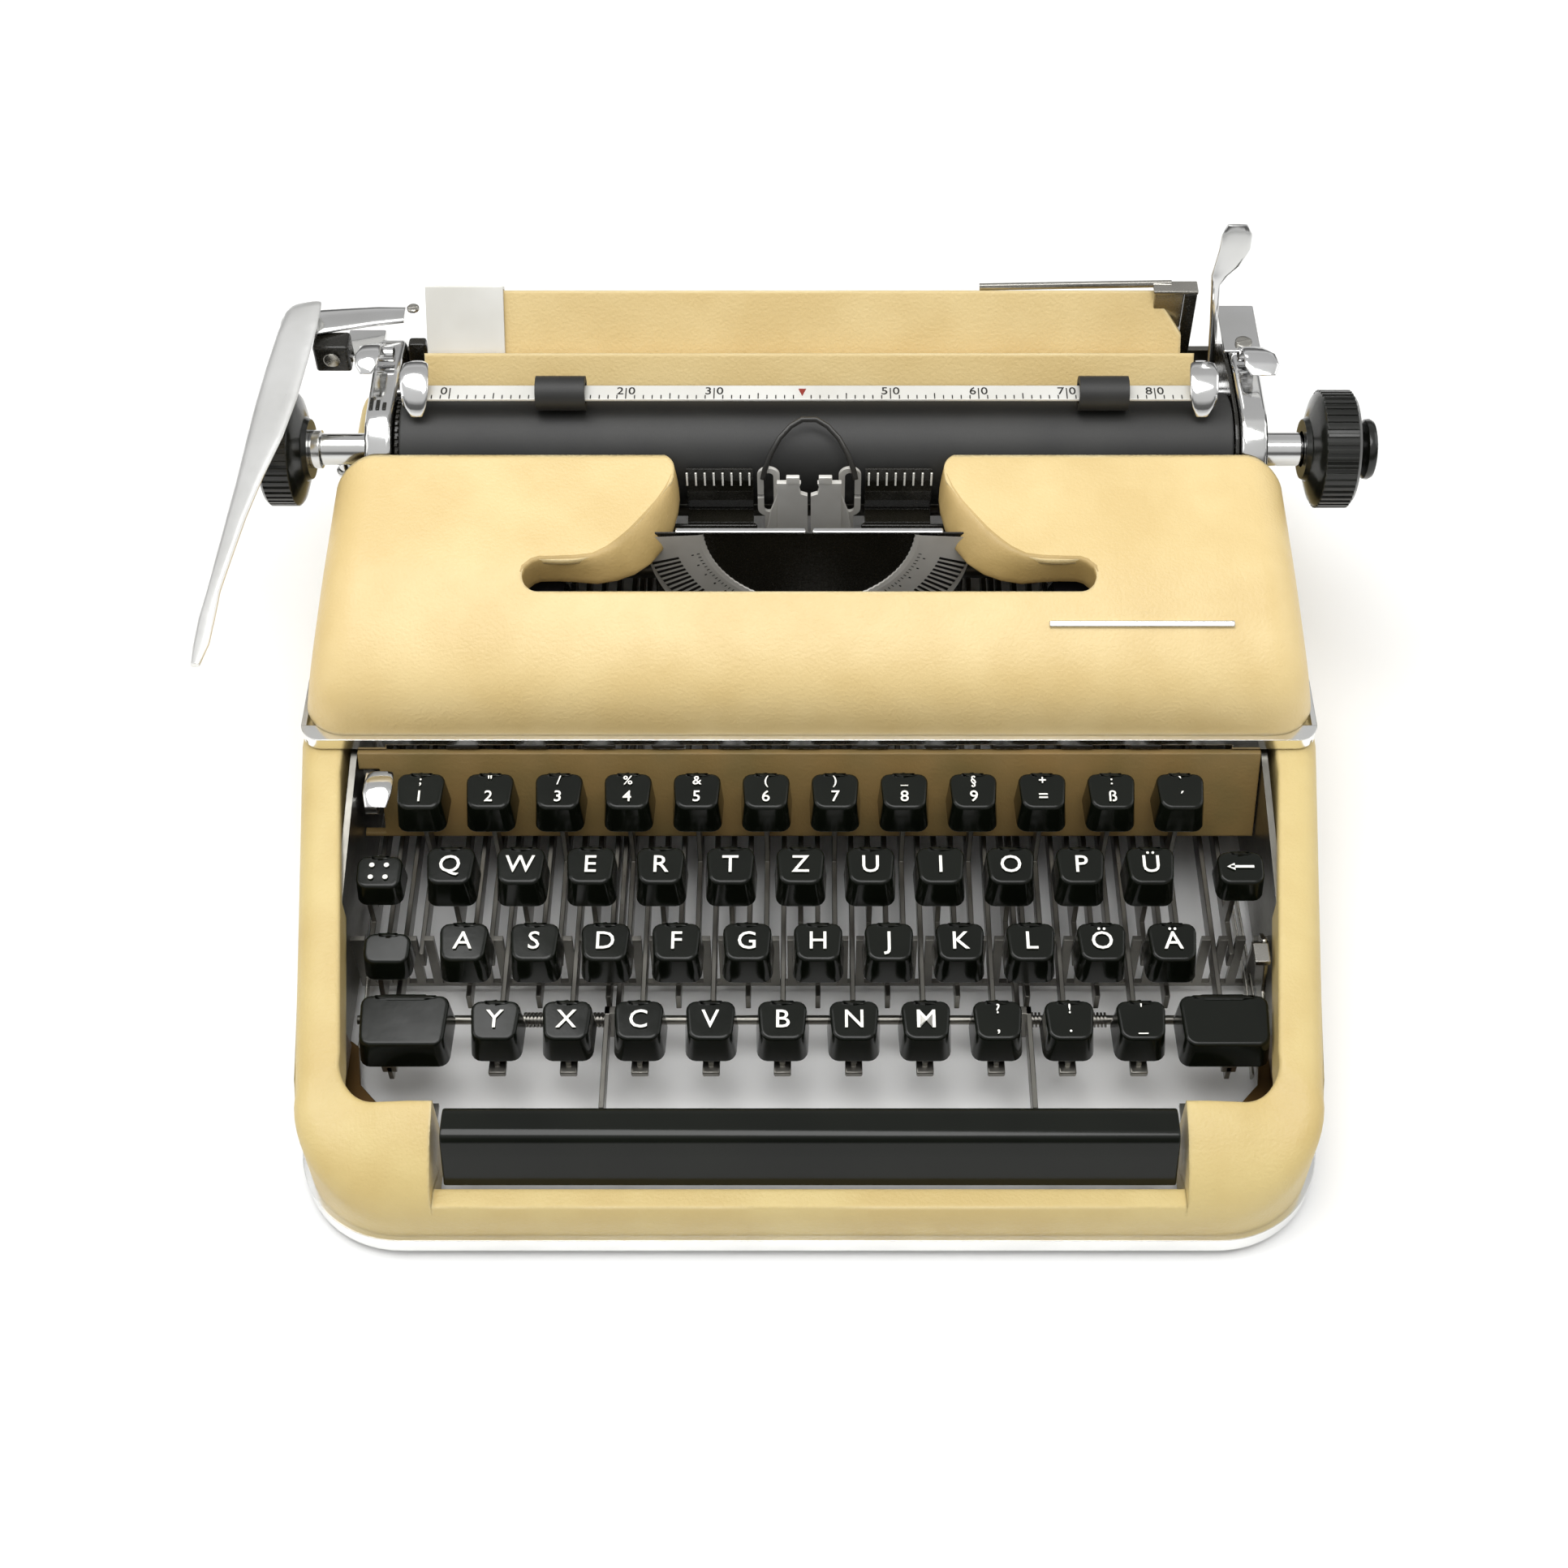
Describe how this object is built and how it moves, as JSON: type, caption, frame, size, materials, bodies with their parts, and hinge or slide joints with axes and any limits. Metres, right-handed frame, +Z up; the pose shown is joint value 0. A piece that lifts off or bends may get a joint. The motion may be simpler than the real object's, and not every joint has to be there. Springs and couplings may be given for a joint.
{
  "type": "portable manual typewriter",
  "caption": "Portable typewriter with a tapered shell, lift-off cover, sloping key rows, slotted typebar ring and a sliding carriage with platen, knobs and levers.",
  "frame": {"origin": "on the floor plane under the middle of the body, below its four feet", "axes": "+X towards the typist's right, +Y away from the typist, +Z up"},
  "size_m": [0.3288, 0.2864, 0.138],
  "materials": {
    "shell_paint": "fine crinkle enamel, satin",
    "cover_paint": "fine crinkle enamel, satin",
    "well_paint": "crinkle enamel in shade, satin",
    "bright_trim": "polished plate",
    "lever_chrome": "polished plate",
    "frame_steel": "bare rolled steel",
    "black_steel": "black enamel, satin",
    "type_steel": "nickel finish",
    "key_plastic": "moulded gloss black",
    "knob_plastic": "ribbed gloss black",
    "platen_rubber": "ground rubber, matte",
    "foot_rubber": "moulded, matte",
    "scale_aluminium": "satin anodised",
    "ribbon_ink": "inked cloth on a steel spool",
    "bell_brass": "polished"
  },
  "bodies": {
    "chassis": {"lower_shell": "shell_paint", "base_trim": "bright_trim", "rubber_feet": "foot_rubber", "side_frames": "frame_steel", "cross_rods": "frame_steel", "key_comb": "frame_steel", "keyboard_back_plate": "well_paint", "typebar_segment": "type_steel", "typebars": "type_steel", "type_rest": "black_steel", "type_guide": "lever_chrome", "line_gauge": "black_steel", "spool_cups": "black_steel", "carriage_bed": "frame_steel", "bell": "bell_brass"},
    "cover": {"top_cover": "cover_paint", "cover_trim": "bright_trim"},
    "carriage": {"carriage_frame": "lever_chrome", "escapement_rack": "frame_steel", "paper_table": "cover_paint", "paper_support": "cover_paint"},
    "platen": {"platen": "platen_rubber", "platen_knob_left": "knob_plastic", "platen_knob_right": "knob_plastic"},
    "body_key_column_01": {"key_column_01": "key_plastic"},
    "body_key_column_02": {"key_column_02": "key_plastic"},
    "body_key_column_03": {"key_column_03": "key_plastic"},
    "body_key_column_04": {"key_column_04": "key_plastic"},
    "body_key_column_05": {"key_column_05": "key_plastic"},
    "body_key_column_06": {"key_column_06": "key_plastic"},
    "body_key_column_07": {"key_column_07": "key_plastic"},
    "body_key_column_08": {"key_column_08": "key_plastic"},
    "body_key_column_09": {"key_column_09": "key_plastic"},
    "body_key_column_10": {"key_column_10": "key_plastic"},
    "body_key_column_11": {"key_column_11": "key_plastic"},
    "body_shift_key_left": {"shift_key_left": "key_plastic"},
    "body_shift_key_right": {"shift_key_right": "key_plastic"},
    "body_shift_lock_key": {"shift_lock_key": "key_plastic"},
    "body_margin_release_key": {"margin_release_key": "key_plastic"},
    "body_backspace_key": {"backspace_key": "key_plastic"},
    "body_space_bar": {"space_bar": "key_plastic"},
    "body_ribbon_selector": {"ribbon_selector": "lever_chrome"},
    "body_typebar_centre": {"typebar_centre": "type_steel"},
    "body_ribbon_vibrator": {"ribbon_vibrator": "lever_chrome"},
    "body_ribbon_spool_left": {"ribbon_spool_left": "ribbon_ink"},
    "body_ribbon_spool_right": {"ribbon_spool_right": "ribbon_ink"},
    "body_escapement_wheel": {"escapement_wheel": "frame_steel"},
    "body_mainspring_drum": {"mainspring_drum": "frame_steel"},
    "body_spacer_button": {"spacer_button": "knob_plastic"},
    "body_feed_rollers": {"feed_rollers": "foot_rubber"},
    "body_paper_side_guide": {"paper_side_guide": "scale_aluminium"},
    "body_bail_bar": {"bail_bar": "scale_aluminium"},
    "body_bail_roller_left": {"bail_roller_left": "foot_rubber"},
    "body_bail_roller_right": {"bail_roller_right": "foot_rubber"},
    "body_line_space_lever": {"line_space_lever": "lever_chrome"},
    "body_paper_release_lever": {"paper_release_lever": "lever_chrome"},
    "body_carriage_release_left": {"carriage_release_left": "lever_chrome"},
    "body_carriage_release_right": {"carriage_release_right": "lever_chrome"},
    "body_margin_stop_left": {"margin_stop_left": "lever_chrome"},
    "body_margin_stop_right": {"margin_stop_right": "lever_chrome"}
  },
  "joints": [
    {"name": "cover_lift", "type": "slide", "parent": "chassis", "child": "cover", "axis": [0, 0, -1], "range_m": [-0.06, 0]},
    {"name": "key_column_01_press", "type": "hinge", "parent": "chassis", "child": "body_key_column_01", "pos_m": [0, 0.088, 0.02], "axis": [1, 0, 0], "range_deg": [0, 3.8], "stiffness_Nm_per_rad": 0.35, "springref_deg": -14.32},
    {"name": "key_column_02_press", "type": "hinge", "parent": "chassis", "child": "body_key_column_02", "pos_m": [0, 0.088, 0.02], "axis": [1, 0, 0], "range_deg": [0, 3.8], "stiffness_Nm_per_rad": 0.35, "springref_deg": -14.32},
    {"name": "key_column_03_press", "type": "hinge", "parent": "chassis", "child": "body_key_column_03", "pos_m": [0, 0.088, 0.02], "axis": [1, 0, 0], "range_deg": [0, 3.8], "stiffness_Nm_per_rad": 0.35, "springref_deg": -14.32},
    {"name": "key_column_04_press", "type": "hinge", "parent": "chassis", "child": "body_key_column_04", "pos_m": [0, 0.088, 0.02], "axis": [1, 0, 0], "range_deg": [0, 3.8], "stiffness_Nm_per_rad": 0.35, "springref_deg": -14.32},
    {"name": "key_column_05_press", "type": "hinge", "parent": "chassis", "child": "body_key_column_05", "pos_m": [0, 0.088, 0.02], "axis": [1, 0, 0], "range_deg": [0, 3.8], "stiffness_Nm_per_rad": 0.35, "springref_deg": -14.32},
    {"name": "key_column_06_press", "type": "hinge", "parent": "chassis", "child": "body_key_column_06", "pos_m": [0, 0.088, 0.02], "axis": [1, 0, 0], "range_deg": [0, 3.8], "stiffness_Nm_per_rad": 0.35, "springref_deg": -14.32},
    {"name": "key_column_07_press", "type": "hinge", "parent": "chassis", "child": "body_key_column_07", "pos_m": [0, 0.088, 0.02], "axis": [1, 0, 0], "range_deg": [0, 3.8], "stiffness_Nm_per_rad": 0.35, "springref_deg": -14.32},
    {"name": "key_column_08_press", "type": "hinge", "parent": "chassis", "child": "body_key_column_08", "pos_m": [0, 0.088, 0.02], "axis": [1, 0, 0], "range_deg": [0, 3.8], "stiffness_Nm_per_rad": 0.35, "springref_deg": -14.32},
    {"name": "key_column_09_press", "type": "hinge", "parent": "chassis", "child": "body_key_column_09", "pos_m": [0, 0.088, 0.02], "axis": [1, 0, 0], "range_deg": [0, 3.8], "stiffness_Nm_per_rad": 0.35, "springref_deg": -14.32},
    {"name": "key_column_10_press", "type": "hinge", "parent": "chassis", "child": "body_key_column_10", "pos_m": [0, 0.088, 0.02], "axis": [1, 0, 0], "range_deg": [0, 3.8], "stiffness_Nm_per_rad": 0.35, "springref_deg": -14.32},
    {"name": "key_column_11_press", "type": "hinge", "parent": "chassis", "child": "body_key_column_11", "pos_m": [0, 0.088, 0.02], "axis": [1, 0, 0], "range_deg": [0, 3.8], "stiffness_Nm_per_rad": 0.35, "springref_deg": -14.32},
    {"name": "typebar_swing", "type": "hinge", "parent": "chassis", "child": "body_typebar_centre", "pos_m": [0, 0.038, 0.046], "axis": [-1, 0, 0], "range_deg": [0, 99]},
    {"name": "ribbon_vibrator_lift", "type": "slide", "parent": "chassis", "child": "body_ribbon_vibrator", "axis": [0, 0, 1], "range_m": [0, 0.009]},
    {"name": "space_bar_press", "type": "hinge", "parent": "chassis", "child": "body_space_bar", "pos_m": [0, 0.088, 0.02], "axis": [1, 0, 0], "range_deg": [0, 3.2], "stiffness_Nm_per_rad": 0.6, "springref_deg": -17.19},
    {"name": "shift_left_press", "type": "hinge", "parent": "chassis", "child": "body_shift_key_left", "pos_m": [0, 0.088, 0.02], "axis": [1, 0, 0], "range_deg": [0, 3.8], "stiffness_Nm_per_rad": 0.35, "springref_deg": -14.32},
    {"name": "shift_right_press", "type": "hinge", "parent": "chassis", "child": "body_shift_key_right", "pos_m": [0, 0.088, 0.02], "axis": [1, 0, 0], "range_deg": [0, 3.8]},
    {"name": "shift_lock_press", "type": "hinge", "parent": "chassis", "child": "body_shift_lock_key", "pos_m": [0, 0.088, 0.02], "axis": [1, 0, 0], "range_deg": [0, 2], "stiffness_Nm_per_rad": 0.25, "springref_deg": -11.46},
    {"name": "margin_release_press", "type": "hinge", "parent": "chassis", "child": "body_margin_release_key", "pos_m": [0, 0.088, 0.02], "axis": [1, 0, 0], "range_deg": [0, 3.2], "stiffness_Nm_per_rad": 0.25, "springref_deg": -11.46},
    {"name": "backspace_press", "type": "hinge", "parent": "chassis", "child": "body_backspace_key", "pos_m": [0, 0.088, 0.02], "axis": [1, 0, 0], "range_deg": [0, 3.2], "stiffness_Nm_per_rad": 0.25, "springref_deg": -11.46},
    {"name": "ribbon_selector_turn", "type": "hinge", "parent": "chassis", "child": "body_ribbon_selector", "pos_m": [-0.1234, -0.022, 0.037], "axis": [1, 0, 0], "range_deg": [0, 14]},
    {"name": "ribbon_spool_left_turn", "type": "hinge", "parent": "chassis", "child": "body_ribbon_spool_left", "pos_m": [-0.09, 0.028, 0.0677], "axis": [0, 0, 1], "continuous": true},
    {"name": "ribbon_spool_right_turn", "type": "hinge", "parent": "chassis", "child": "body_ribbon_spool_right", "pos_m": [0.09, 0.028, 0.0677], "axis": [0, 0, 1], "continuous": true},
    {"name": "carriage_travel", "type": "slide", "parent": "chassis", "child": "carriage", "axis": [1, 0, 0], "range_m": [-0.1, 0.1]},
    {"name": "escapement_turn", "type": "hinge", "parent": "chassis", "child": "body_escapement_wheel", "pos_m": [0, 0.1137, 0.05], "axis": [0, 0, 1], "range_deg": [-600, 600]},
    {"name": "mainspring_turn", "type": "hinge", "parent": "chassis", "child": "body_mainspring_drum", "pos_m": [-0.098, 0.106, 0.042], "axis": [0, 0, 1], "range_deg": [-330, 330]},
    {"name": "platen_turn", "type": "hinge", "parent": "carriage", "child": "platen", "pos_m": [0, 0.0724, 0.084], "axis": [1, 0, 0], "continuous": true},
    {"name": "feed_rollers_turn", "type": "hinge", "parent": "carriage", "child": "body_feed_rollers", "pos_m": [0, 0.0795, 0.064], "axis": [1, 0, 0], "continuous": true},
    {"name": "spacer_button_pull", "type": "slide", "parent": "platen", "child": "body_spacer_button", "axis": [1, 0, 0], "range_m": [0, 0.003]},
    {"name": "paper_side_guide_slide", "type": "slide", "parent": "carriage", "child": "body_paper_side_guide", "axis": [1, 0, 0], "range_m": [-0.002, 0.06]},
    {"name": "bail_swing", "type": "hinge", "parent": "carriage", "child": "body_bail_bar", "pos_m": [0, 0.092, 0.088], "axis": [-1, 0, 0], "range_deg": [0, 38]},
    {"name": "bail_roller_left_turn", "type": "hinge", "parent": "body_bail_bar", "child": "body_bail_roller_left", "pos_m": [-0.0706, 0.0728, 0.1053], "axis": [1, 0, 0], "continuous": true},
    {"name": "bail_roller_right_turn", "type": "hinge", "parent": "body_bail_bar", "child": "body_bail_roller_right", "pos_m": [0.0836, 0.0728, 0.1053], "axis": [1, 0, 0], "continuous": true},
    {"name": "line_space_lever_swing", "type": "hinge", "parent": "carriage", "child": "body_line_space_lever", "pos_m": [-0.15, 0.104, 0.1075], "axis": [0, 0, 1], "range_deg": [0, 25], "stiffness_Nm_per_rad": 0.08, "springref_deg": -17.19},
    {"name": "paper_release_swing", "type": "hinge", "parent": "carriage", "child": "body_paper_release_lever", "pos_m": [0.1205, 0.098, 0.084], "axis": [1, 0, 0], "range_deg": [0, 18]},
    {"name": "carriage_release_left_press", "type": "hinge", "parent": "carriage", "child": "body_carriage_release_left", "pos_m": [-0.1235, 0.092, 0.1029], "axis": [1, 0, 0], "range_deg": [0, 10], "stiffness_Nm_per_rad": 0.02, "springref_deg": -17.19},
    {"name": "carriage_release_right_press", "type": "hinge", "parent": "carriage", "child": "body_carriage_release_right", "pos_m": [0.1275, 0.092, 0.1029], "axis": [1, 0, 0], "range_deg": [0, 10], "stiffness_Nm_per_rad": 0.02, "springref_deg": -17.19},
    {"name": "margin_stop_left_slide", "type": "slide", "parent": "carriage", "child": "body_margin_stop_left", "axis": [1, 0, 0], "range_m": [-0.028, 0.07]},
    {"name": "margin_stop_right_slide", "type": "slide", "parent": "carriage", "child": "body_margin_stop_right", "axis": [1, 0, 0], "range_m": [-0.07, 0.028]}
  ],
  "couplings": [
    {"joint": "typebar_swing", "follows": "key_column_06_press", "ratio": 26},
    {"joint": "ribbon_vibrator_lift", "follows": "key_column_06_press", "m_per_rad": 0.1355},
    {"joint": "shift_right_press", "follows": "shift_left_press", "ratio": 1},
    {"joint": "ribbon_spool_right_turn", "follows": "ribbon_spool_left_turn", "ratio": 1},
    {"joint": "escapement_turn", "follows": "carriage_travel", "rad_per_m": 103.07},
    {"joint": "mainspring_turn", "follows": "carriage_travel", "rad_per_m": 57.143},
    {"joint": "feed_rollers_turn", "follows": "platen_turn", "ratio": -3.2}
  ]
}
